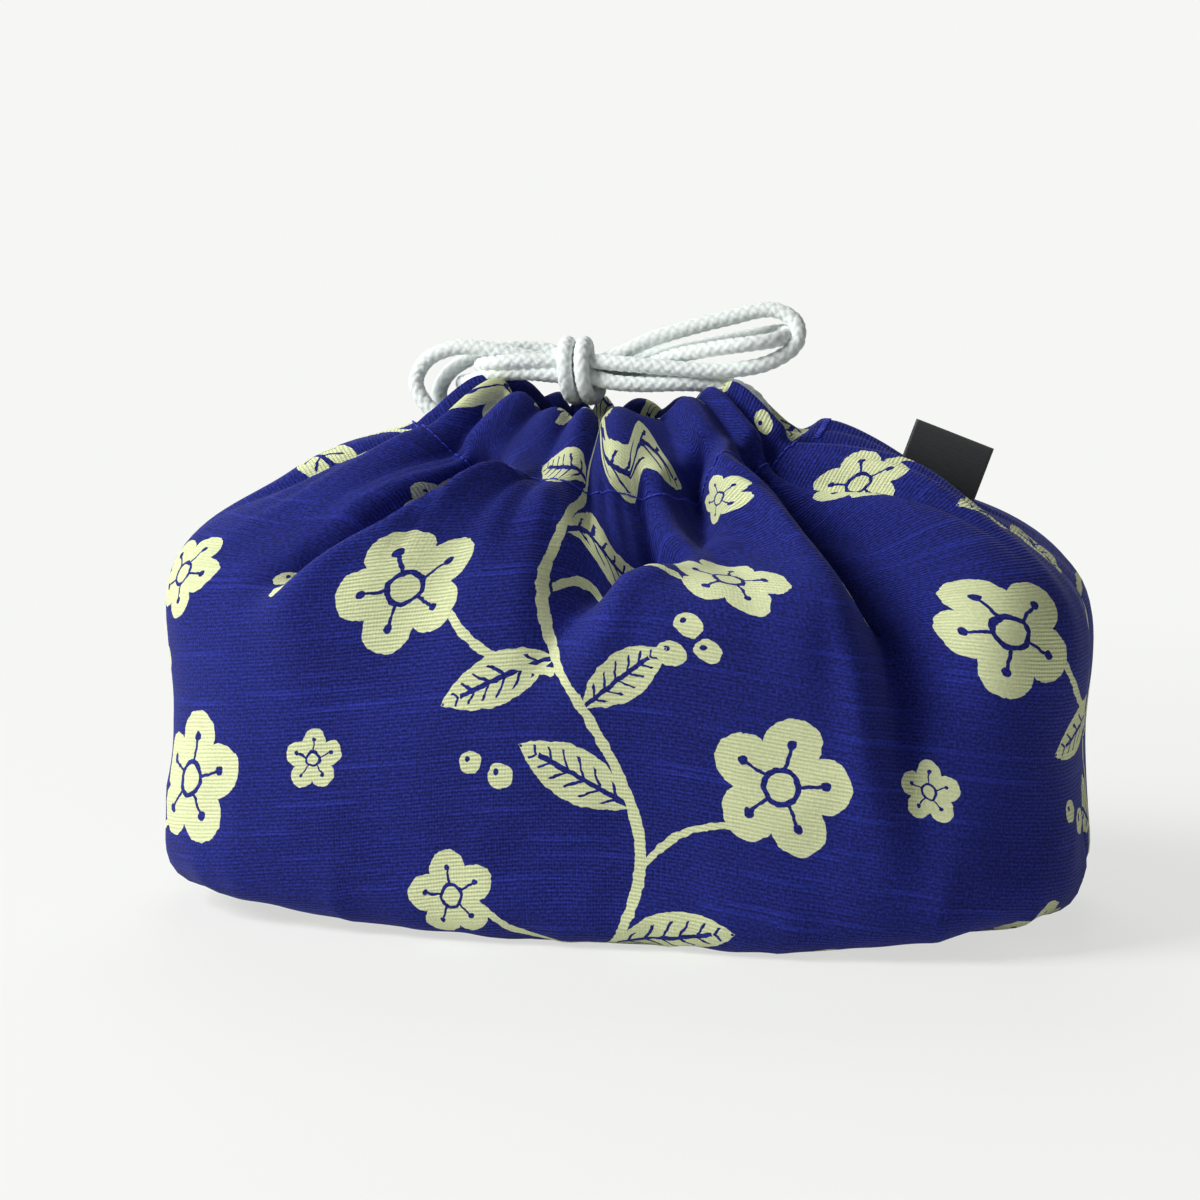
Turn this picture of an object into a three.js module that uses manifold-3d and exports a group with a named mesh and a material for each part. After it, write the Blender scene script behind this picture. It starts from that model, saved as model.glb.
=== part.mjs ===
// Drawstring bag of printed cotton, drawn shut and standing full.
// One cloth bag with a hem casing round its mouth, two drawcords that run round inside the casing
// and come out at opposite side seams, their loops laid together in a hank above the mouth, and a
// ribbon tab sewn into the right-hand seam. Millimetres, +Z up, -Y is the front.

import * as THREE from 'three';
import { ParametricGeometry } from 'three/addons/geometries/ParametricGeometry.js';
import { mergeVertices } from 'three/addons/utils/BufferGeometryUtils.js';
import Module from 'manifold-3d';

const { smoothstep, lerp } = THREE.MathUtils;

// Cloth body
const BASE_LENGTH = 168; // flat part that the bag stands on
const BASE_DEPTH = 84;
const BODY_LENGTH = 240; // widest part of the filled bag
const BODY_DEPTH = 118;
const END_HEEL = 12.5; // where the cloth turns up from the base, at the ends and at front and back
const SIDE_HEEL = 7;
const HEEL_EDGE = 3; // how far the edge of the base stands out there
const HEEL_TURN = 3.5; // how far the heel and the shoulder stand back from the widest part
const SHOULDER_TURN = 1.5;
const BELLY_HEIGHT = 48;
const SHOULDER_HEIGHT = 86; // where the walls turn in towards the mouth
const END_FULLNESS = 0.64; // how far the shoulders puff up, 0 to 1, at the ends and at front and back
const SIDE_FULLNESS = 0.66;
const BASE_SQUARENESS = 3.8; // superellipse exponents of the level sections
const MOUTH_SQUARENESS = 2.1;

// Gathered casing round the mouth
const MOUTH_LENGTH = 62; // opening that is left between the gathers
const MOUTH_WIDTH = 17;
const MOUTH_SHIFT = -5; // the mouth is drawn a little to the left
const MOUTH_POCKET = 26; // how far the gathers can be looked into from above
const CASING_HEIGHT = 20; // stitch line to top edge
const CASING_FLARE = 11; // how far its foot stands out beyond its top
const CASING_WALL = 1.8; // least cloth round a drawcord
const CASING_TOP = 131; // top edge at the front and the back
const EAR_RISE = 7; // how much higher the casing stands at its two ends
const FOOT_RISE = 10.5; // the same for its foot
const SLIT_WIDTH = 9; // opening of the casing at each side seam
const SLIT_DEPTH = 8;
const PLEATS = 17;
const PLEAT_DEPTH = 8;

// Drawcords
const CORD_DIAMETER = 4;
const CORD_CLEARANCE = 0.4;
const CORD_PITCH = 5.6; // the two cords lie one above the other in the casing
const CORD_DROP = 3; // how far below the middle of the casing

// Hank of the cords' loops, and the turns of cord round its waist
const HANK_DEPTH = 11;
const HANK_WAIST_HALF = 5.2; // half its height where the turns hold it
const HANK = [ // across, up, half height
  [-57.5, 143.8, 0], [-54.5, 144, 3.6], [-42, 144.3, 4.4], [-27, 142.6, 4.8], [-13, 140.5, HANK_WAIST_HALF],
  [1, 143.5, 5], [15, 146.5, 5.8], [30, 149.8, 7.6], [41, 152.2, 6.6], [45.5, 153, 0],
];
const [WAIST_X, WAIST_Z] = HANK[4];
const WRAP_WIDTH = 8.4;

// Ribbon tab
const TAB_WIDTH = 21.5;
const TAB_LENGTH = 12.5; // seam to fold
const TAB_ROOT = 6; // part held in the seam
const TAB_THICKNESS = 1.2; // two layers pressed together
const TAB_STATION = 4.15; // how far up the shoulder it is sewn, on the outline stations below
const TAB_LEAN = THREE.MathUtils.degToRad(15); // how much flatter it lies than the shoulder under it

const FIT = 0.3; // gap between touching pieces
const AROUND = 120; // facets round the bag
const clearRadius = CORD_DIAMETER / 2 + CORD_CLEARANCE;
const ringLength = MOUTH_LENGTH / 2 + CASING_WALL + clearRadius; // half lengths of the cords' ring
const ringWidth = MOUTH_WIDTH / 2 + CASING_WALL + clearRadius;
const casingSpread = clearRadius + CASING_WALL + PLEAT_DEPTH / 2; // ring to the mean outer face

const wasm = await Module();
wasm.setup();

// Closed triangle geometry as a solid that can be cut.
function solid(geometry) {
  const bare = new THREE.BufferGeometry().setAttribute('position', geometry.getAttribute('position'));
  const merged = mergeVertices(bare.setIndex(geometry.index), 1e-4);
  const kept = [];
  for (let i = 0; i < merged.index.count; i += 3) {
    const [a, b, c] = [0, 1, 2].map((k) => merged.index.getX(i + k));
    if (a !== b && b !== c && c !== a) kept.push(a, b, c);
  }
  const vertProperties = merged.attributes.position.array;
  return new wasm.Manifold(new wasm.Mesh({ numProp: 3, vertProperties, triVerts: new Uint32Array(kept) }));
}

function geometryOf(made) {
  const mesh = made.getMesh();
  const geometry = new THREE.BufferGeometry();
  geometry.setAttribute('position', new THREE.BufferAttribute(mesh.vertProperties, 3));
  return geometry.setIndex(new THREE.BufferAttribute(mesh.triVerts, 1));
}

// Level section of the bag: a superellipse whose points are spaced by arc length.
// It starts at the right seam and runs by the back and the left seam to the front.
class Section extends THREE.Curve {
  constructor(halfLength, halfDepth, squareness) {
    super();
    Object.assign(this, { halfLength, halfDepth, power: 2 / squareness });
  }
  getPoint(t, target = new THREE.Vector3()) {
    const c = Math.cos(2 * Math.PI * t);
    const s = Math.sin(2 * Math.PI * t);
    const x = this.halfLength * Math.sign(c) * Math.abs(c) ** this.power;
    const y = this.halfDepth * Math.sign(s) * Math.abs(s) ** this.power;
    return target.set(x, y, 0);
  }
}

// The two upright outlines that the sections follow, as (half size, height) at stations 0 to 9:
// base edge, heel, belly, shoulder, slope, casing foot, casing middle, top edge, inner face, pocket floor.
const LAST = 9;
function outline(flat, body, heel, ring, mouth, rise, footRise, fullness) {
  const outer = ring + casingSpread;
  const foot = CASING_TOP - CASING_HEIGHT + footRise;
  const middle = CASING_TOP - CASING_HEIGHT / 2 + rise;
  return new THREE.SplineCurve([
    new THREE.Vector2(flat / 2, 0),
    new THREE.Vector2(body / 2 - HEEL_TURN, heel),
    new THREE.Vector2(body / 2, BELLY_HEIGHT),
    new THREE.Vector2(body / 2 - SHOULDER_TURN, SHOULDER_HEIGHT),
    new THREE.Vector2(lerp(body / 2, outer + CASING_FLARE, 0.52), lerp(SHOULDER_HEIGHT, foot, fullness)),
    new THREE.Vector2(outer + CASING_FLARE, foot),
    new THREE.Vector2(outer + CASING_FLARE * 0.3, middle),
    new THREE.Vector2(ring, CASING_TOP + rise),
    new THREE.Vector2(mouth / 2, middle),
    new THREE.Vector2(mouth / 2 - 1, CASING_TOP - MOUTH_POCKET + rise / 2),
  ]);
}
const endOutline = outline(
  BASE_LENGTH, BODY_LENGTH, END_HEEL, ringLength, MOUTH_LENGTH, EAR_RISE, FOOT_RISE, END_FULLNESS,
);
const sideOutline = outline(BASE_DEPTH, BODY_DEPTH, SIDE_HEEL, ringWidth, MOUTH_WIDTH, 0, 0, SIDE_FULLNESS);

// Smooth loft of the bag before it is gathered, u round the bag and station up the outlines.
const sections = new Map();
function sectionAt(station) {
  if (!sections.has(station)) {
    const end = endOutline.getPoint(station / LAST);
    const side = sideOutline.getPoint(station / LAST);
    const squareness = lerp(BASE_SQUARENESS, MOUTH_SQUARENESS, smoothstep(station, 1, 5));
    sections.set(station, { end, side, ring: new Section(end.x, side.x, squareness) });
  }
  return sections.get(station);
}
function loft(u, station) {
  const { end, side, ring } = sectionAt(station);
  const point = ring.getPointAt(THREE.MathUtils.euclideanModulo(u, 1));
  point.z = lerp(side.y, end.y, smoothstep(Math.abs(point.x) / end.x, 0.3, 0.95));
  point.x += MOUTH_SHIFT * smoothstep(station, 3, 6);
  return point;
}
function outward(u, station) {
  const step = 0.004;
  const low = Math.max(station - 0.05, 0);
  const high = Math.min(station + 0.05, LAST);
  const along = loft(u + step, station).sub(loft(u - step, station));
  const up = loft(u, high).sub(loft(u, low));
  return along.cross(up).normalize();
}

// Distance round the bag from u to a place on it, the short way, in mm.
function reach(u, place, station) {
  const turn = THREE.MathUtils.euclideanModulo(u - place + 0.5, 1) - 0.5;
  return turn * sectionAt(station).ring.getLength();
}
const bell = (distance, width) => Math.exp(-((distance / width) ** 2));

// Folds that fan out from the mouth: line of (u, station) from the mouth down, depth (negative is a
// ridge), and spread to the left and to the right of the line.
const STATION_RISE = 28; // cloth between two stations, about
const FOLDS = [
  {
    depth: 17,
    left: 9,
    right: 5,
    line: [[0.622, 6.2], [0.639, 4.95], [0.637, 4.32], [0.63, 3.75], [0.612, 3.27], [0.59, 3]],
  },
  { depth: -7, left: 10, right: 14, line: [[0.69, 6], [0.668, 4.5], [0.65, 3.65], [0.625, 3], [0.6, 2.7]] },
  {
    depth: 12,
    left: 13,
    right: 5,
    line: [[0.803, 6.4], [0.797, 4.7], [0.79, 4.1], [0.756, 3.6], [0.747, 3.1], [0.735, 2.7], [0.715, 2.2]],
  },
  { depth: 8, left: 5, right: 4, line: [[0.88, 6.3], [0.84, 4.9], [0.805, 3.8]] },
  {
    depth: 16,
    left: 5,
    right: 14,
    line: [[0.93, 6], [0.908, 4.8], [0.888, 4.1], [0.872, 2.9], [0.878, 2.1], [0.89, 1.2]],
  },
  { depth: -4, left: 9, right: 6, line: [[0.9, 5.6], [0.88, 4.5], [0.86, 3.9], [0.84, 2.8], [0.84, 2.2]] },
  { depth: -4, left: 16, right: 16, line: [[0.97, 5.6], [0.96, 4.4], [0.95, 3.2], [0.95, 2.2]] },
  { depth: 12, left: 8, right: 8, line: [[0.09, 5.8], [0.075, 2.2]] },
  { depth: 13, left: 9, right: 9, line: [[0.16, 6], [0.15, 1.6]] },
  { depth: 10, left: 9, right: 9, line: [[0.25, 6], [0.28, 1.8]] },
  { depth: 14, left: 9, right: 9, line: [[0.36, 6], [0.345, 1.6]] },
  { depth: 12, left: 8, right: 8, line: [[0.43, 5.8], [0.445, 2.4]] },
];
function foldRelief(u, station, { line, depth, left, right }) {
  let nearest = { distance: Infinity, along: 0, spread: left };
  for (let i = 0; i + 1 < line.length; i += 1) {
    const [[u0, s0], [u1, s1]] = [line[i], line[i + 1]];
    const place = new THREE.Vector2(reach(u, u0, station), (station - s0) * STATION_RISE);
    const edge = new THREE.Vector2(reach(u1, u0, station), (s1 - s0) * STATION_RISE);
    const share = THREE.MathUtils.clamp(place.dot(edge) / edge.lengthSq(), 0, 1);
    const distance = place.distanceTo(edge.clone().multiplyScalar(share));
    const spread = edge.cross(place) > 0 ? right : left;
    if (distance < nearest.distance) nearest = { distance, along: (i + share) / (line.length - 1), spread };
  }
  const { distance, along, spread } = nearest;
  const strength = depth * smoothstep(along, 0, 0.25) * (1 - smoothstep(along, 0.55, 1));
  return strength * (0.3 * bell(distance - 1.8 * spread, spread) - Math.exp(-((distance / spread) ** 1.5)));
}

// Hollows and swellings of the filled cloth: place, station, spread round and up, height.
const SWELLS = [
  { at: 0.798, station: 4, wide: 17, tall: 0.4, height: -6 },
  { at: 0.8, station: 3, wide: 26, tall: 0.4, height: 4 },
  { at: 0.7, station: 4.4, wide: 20, tall: 0.9, height: 3 },
  { at: 0.62, station: 1.6, wide: 40, tall: 0.8, height: 2 },
  { at: 0.88, station: 1.4, wide: 36, tall: 0.8, height: 2 },
  { at: 0.045, station: 4, wide: 18, tall: 0.8, height: 1 },
  { at: 0.53, station: 4.1, wide: 20, tall: 0.8, height: 6 },
  { at: 0.54, station: 3.3, wide: 22, tall: 0.5, height: 4 },
  { at: 0.22, station: 3.1, wide: 40, tall: 0.5, height: 3 },
  { at: 0.4, station: 1.8, wide: 40, tall: 0.8, height: 2 },
];
const swellRelief = (u, station, { at, station: level, wide, tall, height }) =>
  height * bell(reach(u, at, station), wide) * bell(station - level, tall);

// Pleats of the drawn casing: round crests, sharp valleys, uneven spacing and height.
function pleatRelief(u, station) {
  const turn = 2 * Math.PI * u;
  const phase = PLEATS * u + 0.32 * Math.sin(3 * turn + 0.8) + 0.22 * Math.sin(5 * turn + 2.1);
  const height = PLEAT_DEPTH * (0.8 + 0.2 * Math.sin(4 * turn + 0.5));
  const growing = smoothstep(station, 3.1, 5);
  const closing = lerp(1, 0.15, smoothstep(station, 6.2, 7.8));
  const roll = 1 - 0.75 * bell(reach(u, 0.685, 6), 17) * (1 - smoothstep(station, 6, 7));
  return height * growing * closing * roll * (Math.abs(Math.sin(Math.PI * phase)) - 0.6);
}

// The casing is slit at both side seams, so that each of its ends stands up as a pair of ears.
const slitShare = (u, station) => {
  const nearest = Math.min(Math.abs(reach(u, 0, 6)), Math.abs(reach(u, 0.5, 6)));
  return (1 - smoothstep(nearest, SLIT_WIDTH * 0.2, SLIT_WIDTH * 0.75)) * smoothstep(station, 5.2, 6.6);
};

function clothPoint(u, station) {
  const point = loft(u, station);
  let push = pleatRelief(u, station) + HEEL_EDGE * bell(station - 1, 0.3);
  push += FOLDS.reduce((sum, fold) => sum + foldRelief(u, station, fold), 0);
  push += SWELLS.reduce((sum, swell) => sum + swellRelief(u, station, swell), 0);
  const flat = smoothstep(station, 0, 0.8);
  point.addScaledVector(outward(u, station), push * flat);
  point.z = Math.max(point.z - SLIT_DEPTH * slitShare(u, station), 0);
  return point;
}

// Levels of the cloth from the middle of the base to the middle of the pocket between the gathers.
const levels = [];
for (let station = 0; station <= LAST + 1e-6;) {
  levels.push(station);
  if (station < 1.4) station += 0.25;
  else station += station > 2.9 && station < 7.3 ? 0.2 : 0.5;
}
const stacks = levels.length + 1;
const clothGeometry = new ParametricGeometry((u, v, target) => {
  const row = Math.round(v * stacks);
  const round = Math.round(u * AROUND) % AROUND;
  if (row === 0) target.set(0, 0, 0);
  else if (row === stacks) target.set(MOUTH_SHIFT, 0, CASING_TOP - MOUTH_POCKET - 2);
  else target.copy(clothPoint(round / AROUND, levels[row - 1]));
}, AROUND, stacks);

// Tube along a route.
function tube(points, radius, steps, sides) {
  const shape = new THREE.Shape();
  for (let i = 0; i < sides; i += 1) {
    const turn = (2 * Math.PI * i) / sides;
    const [x, y] = [radius * Math.cos(turn), radius * Math.sin(turn)];
    if (i === 0) shape.moveTo(x, y);
    else shape.lineTo(x, y);
  }
  shape.closePath();
  const extrudePath = new THREE.CatmullRomCurve3(points);
  return new THREE.ExtrudeGeometry(shape, { steps, extrudePath, bevelEnabled: false });
}

// Hank: the outer shape of the loops, low at the left, rising at the right, drawn in at the waist.
const hankAxis = new THREE.SplineCurve(HANK.map(([x, z]) => new THREE.Vector2(x, z)));
const hankSize = new THREE.SplineCurve(HANK.map(([x, , half]) => new THREE.Vector2(x, half)));
function hankUnderside(x) {
  let v = 0;
  while (v < 1 && hankAxis.getPoint(v).x < x) v += 0.005;
  return hankAxis.getPoint(v).y - hankSize.getPoint(v).y;
}

// Route of a drawcord: down from the hank into the slit of one side seam, once round inside the casing,
// and up again.
// Side -1 is the left seam, +1 the right; level is its height above the middle of the casing.
function cordRoute(side, level) {
  const seam = MOUTH_SHIFT + side * ringLength;
  const top = CASING_TOP + EAR_RISE;
  const inside = level - CASING_HEIGHT / 2;
  const start = hankUnderside(seam + side * (3 - CORD_DIAMETER)) - FIT - top;
  const lead = [[3, -2.6, start], [4.8, -2.7, -2.5], [5.2, -3.4, inside / 2 - 1], [2, -5.6, inside + 0.3]];
  const front = lead.map(([x, y, z]) => new THREE.Vector3(seam + side * x, y, top + z));
  const ring = [];
  for (let i = 2; i <= 14; i += 1) {
    const turn = (side > 0 ? 0 : Math.PI) - side * (i / 16) * 2 * Math.PI;
    const x = MOUTH_SHIFT + ringLength * Math.cos(turn);
    const rise = EAR_RISE * smoothstep(Math.abs(Math.cos(turn)), 0.3, 0.95);
    ring.push(new THREE.Vector3(x, ringWidth * Math.sin(turn), CASING_TOP - CASING_HEIGHT / 2 + rise + level));
  }
  const back = front.map((p) => new THREE.Vector3(p.x, -p.y, p.z)).reverse();
  return [...front, ...ring, ...back];
}
const leftRoute = cordRoute(-1, CORD_PITCH / 2 - CORD_DROP);
const rightRoute = cordRoute(1, -CORD_PITCH / 2 - CORD_DROP);

let cloth = solid(clothGeometry);
const meshes = [];
const materials = {
  cloth: new THREE.MeshStandardMaterial({ color: 0x2b318a, roughness: 0.9, metalness: 0 }),
  cord: new THREE.MeshStandardMaterial({ color: 0xeceeec, roughness: 0.85, metalness: 0 }),
  ribbon: new THREE.MeshStandardMaterial({ color: 0x1a2021, roughness: 0.6, metalness: 0 }),
};
function add(name, geometry, material) {
  const mesh = new THREE.Mesh(geometry, material.clone());
  mesh.name = name;
  meshes.push(mesh);
}
for (const [name, route] of [['drawcord_left', leftRoute], ['drawcord_right', rightRoute]]) {
  add(name, tube(route, CORD_DIAMETER / 2, 48, 8), materials.cord);
  cloth = cloth.subtract(solid(tube(route, clearRadius, 48, 8)));
}

const hankGeometry = new ParametricGeometry((u, v, target) => {
  const turn = 2 * Math.PI * u;
  const axis = hankAxis.getPoint(v);
  const half = Math.max(hankSize.getPoint(v).y, 0);
  const depth = (HANK_DEPTH / 2) * Math.min(half / HANK_WAIST_HALF, 1);
  target.set(axis.x, depth * Math.cos(turn), axis.y + half * Math.sin(turn));
}, 18, 27);
add('drawcord_hank', geometryOf(solid(hankGeometry)), materials.cord);

// Turns of cord round the waist of the hank.
const wrapInner = HANK_DEPTH / 2 + FIT + 0.3;
const wrapOuter = wrapInner + CORD_DIAMETER;
const wrapProfile = [
  [wrapInner, -WRAP_WIDTH / 2], [wrapOuter - 1.2, -WRAP_WIDTH / 2], [wrapOuter, -WRAP_WIDTH / 2 + 1.6],
  [wrapOuter, -1.4], [wrapOuter - 0.8, 0], [wrapOuter, 1.4],
  [wrapOuter, WRAP_WIDTH / 2 - 1.6], [wrapOuter - 1.2, WRAP_WIDTH / 2], [wrapInner, WRAP_WIDTH / 2],
  [wrapInner, -WRAP_WIDTH / 2],
].map(([r, h]) => new THREE.Vector2(r, h));
const wrapGeometry = new THREE.LatheGeometry(wrapProfile, 28);
wrapGeometry.rotateZ(-Math.PI / 2).translate(WAIST_X, 0, WAIST_Z);
add('drawcord_wrap', wrapGeometry, materials.cord);

// Ribbon tab standing in the right-hand seam, a little flatter than the slope of the shoulder.
const seamPoint = clothPoint(0, TAB_STATION);
const slope = clothPoint(0, TAB_STATION + 0.2).sub(clothPoint(0, TAB_STATION - 0.2)).setY(0).normalize();
slope.applyAxisAngle(new THREE.Vector3(0, 1, 0), -TAB_LEAN);
const tabFrame = new THREE.Matrix4().makeBasis(
  slope,
  new THREE.Vector3(slope.z, 0, -slope.x),
  new THREE.Vector3(0, 1, 0),
).setPosition(seamPoint.x, 0, seamPoint.z);
function tabPlate(grow) {
  const shape = new THREE.Shape();
  const [side, fold] = [TAB_WIDTH / 2 + grow, TAB_LENGTH + grow];
  shape.moveTo(-side, -TAB_ROOT - grow);
  shape.lineTo(side, -TAB_ROOT - grow);
  shape.lineTo(side, fold);
  shape.lineTo(-side, fold);
  shape.closePath();
  const depth = TAB_THICKNESS + 2 * grow;
  const plate = new THREE.ExtrudeGeometry(shape, { depth, bevelEnabled: false });
  return plate.translate(0, 0, -depth / 2).applyMatrix4(tabFrame);
}
add('label_tab', tabPlate(0), materials.ribbon);
cloth = cloth.subtract(solid(tabPlate(FIT)));

add('bag_cloth', geometryOf(cloth), materials.cloth);

// The origin is under the middle of the cloth, on the surface that it stands on.
const bag = new THREE.Group();
bag.name = 'drawstring_bag';
bag.add(...meshes);
const middle = new THREE.Box3().setFromObject(bag.getObjectByName('bag_cloth')).getCenter(new THREE.Vector3());
for (const mesh of meshes) mesh.position.set(-middle.x, -middle.y, 0);

export default bag;
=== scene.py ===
"""Drawn drawstring lunch bag: printed slub cotton, two braided cords tied in a hank, a ribbon tab."""

import math

import bmesh
import bpy
import numpy as np
from numpy.linalg import norm
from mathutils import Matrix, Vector, noise


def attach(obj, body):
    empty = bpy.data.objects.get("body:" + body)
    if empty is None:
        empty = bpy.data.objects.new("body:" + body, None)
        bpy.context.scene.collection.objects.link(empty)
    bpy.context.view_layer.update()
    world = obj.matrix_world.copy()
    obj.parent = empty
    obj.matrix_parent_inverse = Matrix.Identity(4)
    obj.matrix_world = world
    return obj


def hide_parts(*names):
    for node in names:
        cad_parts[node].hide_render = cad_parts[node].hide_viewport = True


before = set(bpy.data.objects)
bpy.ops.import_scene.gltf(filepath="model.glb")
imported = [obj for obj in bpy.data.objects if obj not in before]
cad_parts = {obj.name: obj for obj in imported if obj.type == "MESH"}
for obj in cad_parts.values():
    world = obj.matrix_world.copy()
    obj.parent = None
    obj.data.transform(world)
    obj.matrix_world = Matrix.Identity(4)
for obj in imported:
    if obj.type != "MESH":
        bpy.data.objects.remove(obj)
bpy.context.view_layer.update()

bl_info = {
    "name": "Drawstring lunch bag",
    "version": (1, 0, 0),
    "blender": (4, 5, 0),
    "location": "View3D > Sidebar > Lunch bag",
    "description": "Dresses a drawn drawstring bag in printed cotton, braided cord and ribbon",
    "category": "Object",
}

MM = 0.001
BODY = "root"


def linear(colour):
    """Linear RGB of an sRGB hex colour."""
    channels = [int(colour[i:i + 2], 16) / 255 for i in (1, 3, 5)]
    return tuple(c / 12.92 if c <= 0.04045 else ((c + 0.055) / 1.055) ** 2.4 for c in channels)


# ---- settings


class BagClothSettings(bpy.types.PropertyGroup):
    """Sizes of the filled bag, and the colours of its print."""

    base_length: bpy.props.FloatProperty(
        name="Base length", description="Flat part that the bag stands on", default=0.168, unit="LENGTH")
    base_depth: bpy.props.FloatProperty(
        name="Base depth", description="Flat part, front to back", default=0.084, unit="LENGTH")
    body_length: bpy.props.FloatProperty(
        name="Body length", description="Widest part of the filled bag", default=0.240, unit="LENGTH")
    body_depth: bpy.props.FloatProperty(
        name="Body depth", description="Widest part, front to back", default=0.118, unit="LENGTH")
    shoulder_height: bpy.props.FloatProperty(
        name="Shoulder height", description="Where the walls turn in to the mouth", default=0.086, unit="LENGTH")
    mouth_length: bpy.props.FloatProperty(
        name="Mouth length", description="Opening left between the gathers", default=0.062, unit="LENGTH")
    mouth_width: bpy.props.FloatProperty(
        name="Mouth width", description="Opening, front to back", default=0.017, unit="LENGTH")
    casing_top: bpy.props.FloatProperty(
        name="Casing top", description="Height of the gathered edge at front and back", default=0.131, unit="LENGTH")
    pleat_depth: bpy.props.FloatProperty(
        name="Pleat depth", description="Depth of the gathers in the casing", default=0.008, unit="LENGTH")
    wrinkle: bpy.props.FloatProperty(
        name="Wrinkles", description="Height of the soft wrinkles in the walls", default=0.0014, unit="LENGTH")
    thickness: bpy.props.FloatProperty(
        name="Cloth thickness", description="Thickness of the woven cotton", default=0.0007, unit="LENGTH")
    ground: bpy.props.FloatVectorProperty(
        name="Ground", description="Colour of the dyed ground", subtype="COLOR", default=linear("#202b90"))
    ink: bpy.props.FloatVectorProperty(
        name="Print", description="Colour of the printed motifs", subtype="COLOR", default=linear("#dfe6b4"))


class DrawcordSettings(bpy.types.PropertyGroup):
    """Size and colour of the braided drawcords."""

    diameter: bpy.props.FloatProperty(
        name="Diameter", description="Thickness of the cord", default=0.004, unit="LENGTH")
    braid: bpy.props.FloatProperty(
        name="Braid", description="Spacing of the plaited strands along the cord", default=0.0027, unit="LENGTH")
    colour: bpy.props.FloatVectorProperty(
        name="Cord", description="Colour of the bleached cotton", subtype="COLOR", default=linear("#f4f9f6"))


class RibbonTabSettings(bpy.types.PropertyGroup):
    """Size and colour of the folded ribbon tab."""

    width: bpy.props.FloatProperty(
        name="Width", description="Width of the ribbon", default=0.0215, unit="LENGTH")
    length: bpy.props.FloatProperty(
        name="Length", description="Seam to fold", default=0.0125, unit="LENGTH")
    colour: bpy.props.FloatVectorProperty(
        name="Ribbon", description="Colour of the satin ribbon", subtype="COLOR", default=linear("#16191b"))


class StageSettings(bpy.types.PropertyGroup):
    """Camera and light of the stage."""

    distance: bpy.props.FloatProperty(
        name="Distance", description="Camera to the middle of the view", default=0.95, unit="LENGTH")
    azimuth: bpy.props.FloatProperty(
        name="Azimuth", description="Camera to the right of the front", default=math.radians(12), unit="ROTATION")
    elevation: bpy.props.FloatProperty(
        name="Elevation", description="Camera above the level", default=math.radians(9), unit="ROTATION")
    paper: bpy.props.FloatVectorProperty(
        name="Paper", description="Colour of the floor", subtype="COLOR", default=linear("#f6f7f4"))


# ---- the drawn bag's form, in mm


def smooth(value, low, high):
    t = np.clip((value - low) / (high - low), 0, 1)
    return t * t * (3 - 2 * t)


def lerp(a, b, t):
    return a + (b - a) * t


def bell(distance, width):
    return np.exp(-((distance / width) ** 2))


def run_of(line):
    """Distance along a line at each of its points."""
    return np.concatenate([[0], np.cumsum(norm(np.diff(line, axis=0), axis=1))])


# Folds that fan out from the mouth: line of (u, station) from the mouth down, depth (negative is a ridge),
# and spread to the left and to the right of the line.
FOLDS = [
    ([(0.622, 6.2), (0.639, 4.95), (0.637, 4.32), (0.63, 3.75), (0.612, 3.27), (0.59, 3)], 17, 9, 5),
    ([(0.69, 6), (0.668, 4.5), (0.65, 3.65), (0.625, 3), (0.6, 2.7)], -7, 10, 14),
    ([(0.803, 6.4), (0.797, 4.7), (0.79, 4.1), (0.756, 3.6), (0.747, 3.1), (0.735, 2.7), (0.715, 2.2)], 12, 13, 5),
    ([(0.88, 6.3), (0.84, 4.9), (0.805, 3.8)], 8, 5, 4),
    ([(0.93, 6), (0.908, 4.8), (0.888, 4.1), (0.872, 2.9), (0.878, 2.1), (0.89, 1.2)], 16, 5, 14),
    ([(0.9, 5.6), (0.88, 4.5), (0.86, 3.9), (0.84, 2.8), (0.84, 2.2)], -4, 9, 6),
    ([(0.97, 5.6), (0.96, 4.4), (0.95, 3.2), (0.95, 2.2)], -4, 16, 16),
    ([(0.09, 5.8), (0.075, 2.2)], 12, 8, 8), ([(0.16, 6), (0.15, 1.6)], 13, 9, 9),
    ([(0.25, 6), (0.28, 1.8)], 10, 9, 9), ([(0.36, 6), (0.345, 1.6)], 14, 9, 9),
    ([(0.43, 5.8), (0.445, 2.4)], 12, 8, 8),
]
STATION_RISE = 28  # mm of cloth between two stations, about
# Hollows and swellings of the filled cloth: place, station, spread round and up, height.
SWELLS = [
    (0.798, 4.0, 17, 0.4, -6), (0.8, 3.0, 26, 0.4, 4), (0.7, 4.4, 20, 0.9, 3), (0.62, 1.6, 40, 0.8, 2),
    (0.88, 1.4, 36, 0.8, 2), (0.045, 4, 18, 0.8, 1), (0.53, 4.1, 20, 0.8, 6), (0.54, 3.3, 22, 0.5, 4),
    (0.22, 3.1, 40, 0.5, 3), (0.4, 1.8, 40, 0.8, 2),
]
END_HEEL, SIDE_HEEL = 12.5, 7  # where the cloth turns up from the base, at the ends and at front and back
HEEL_EDGE = 3  # how far the base's edge stands out there
HEEL_TURN, SHOULDER_TURN = 3.5, 1.5  # how far heel and shoulder stand back from the widest part
BELLY_HEIGHT = 48
END_FULLNESS, SIDE_FULLNESS = 0.64, 0.66  # how far the shoulders puff up, 0 to 1
BASE_SQUARENESS, MOUTH_SQUARENESS = 3.8, 2.1  # superellipse exponents of the level sections
MOUTH_SHIFT = -5  # the mouth sits left of the body's middle
MOUTH_POCKET = 26  # depth of the hollow inside the mouth
CASING_HEIGHT = 20
CASING_FLARE = 11
CASING_WALL = 1.8
CLEAR_RADIUS = 2.4  # room for a cord in the casing
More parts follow.
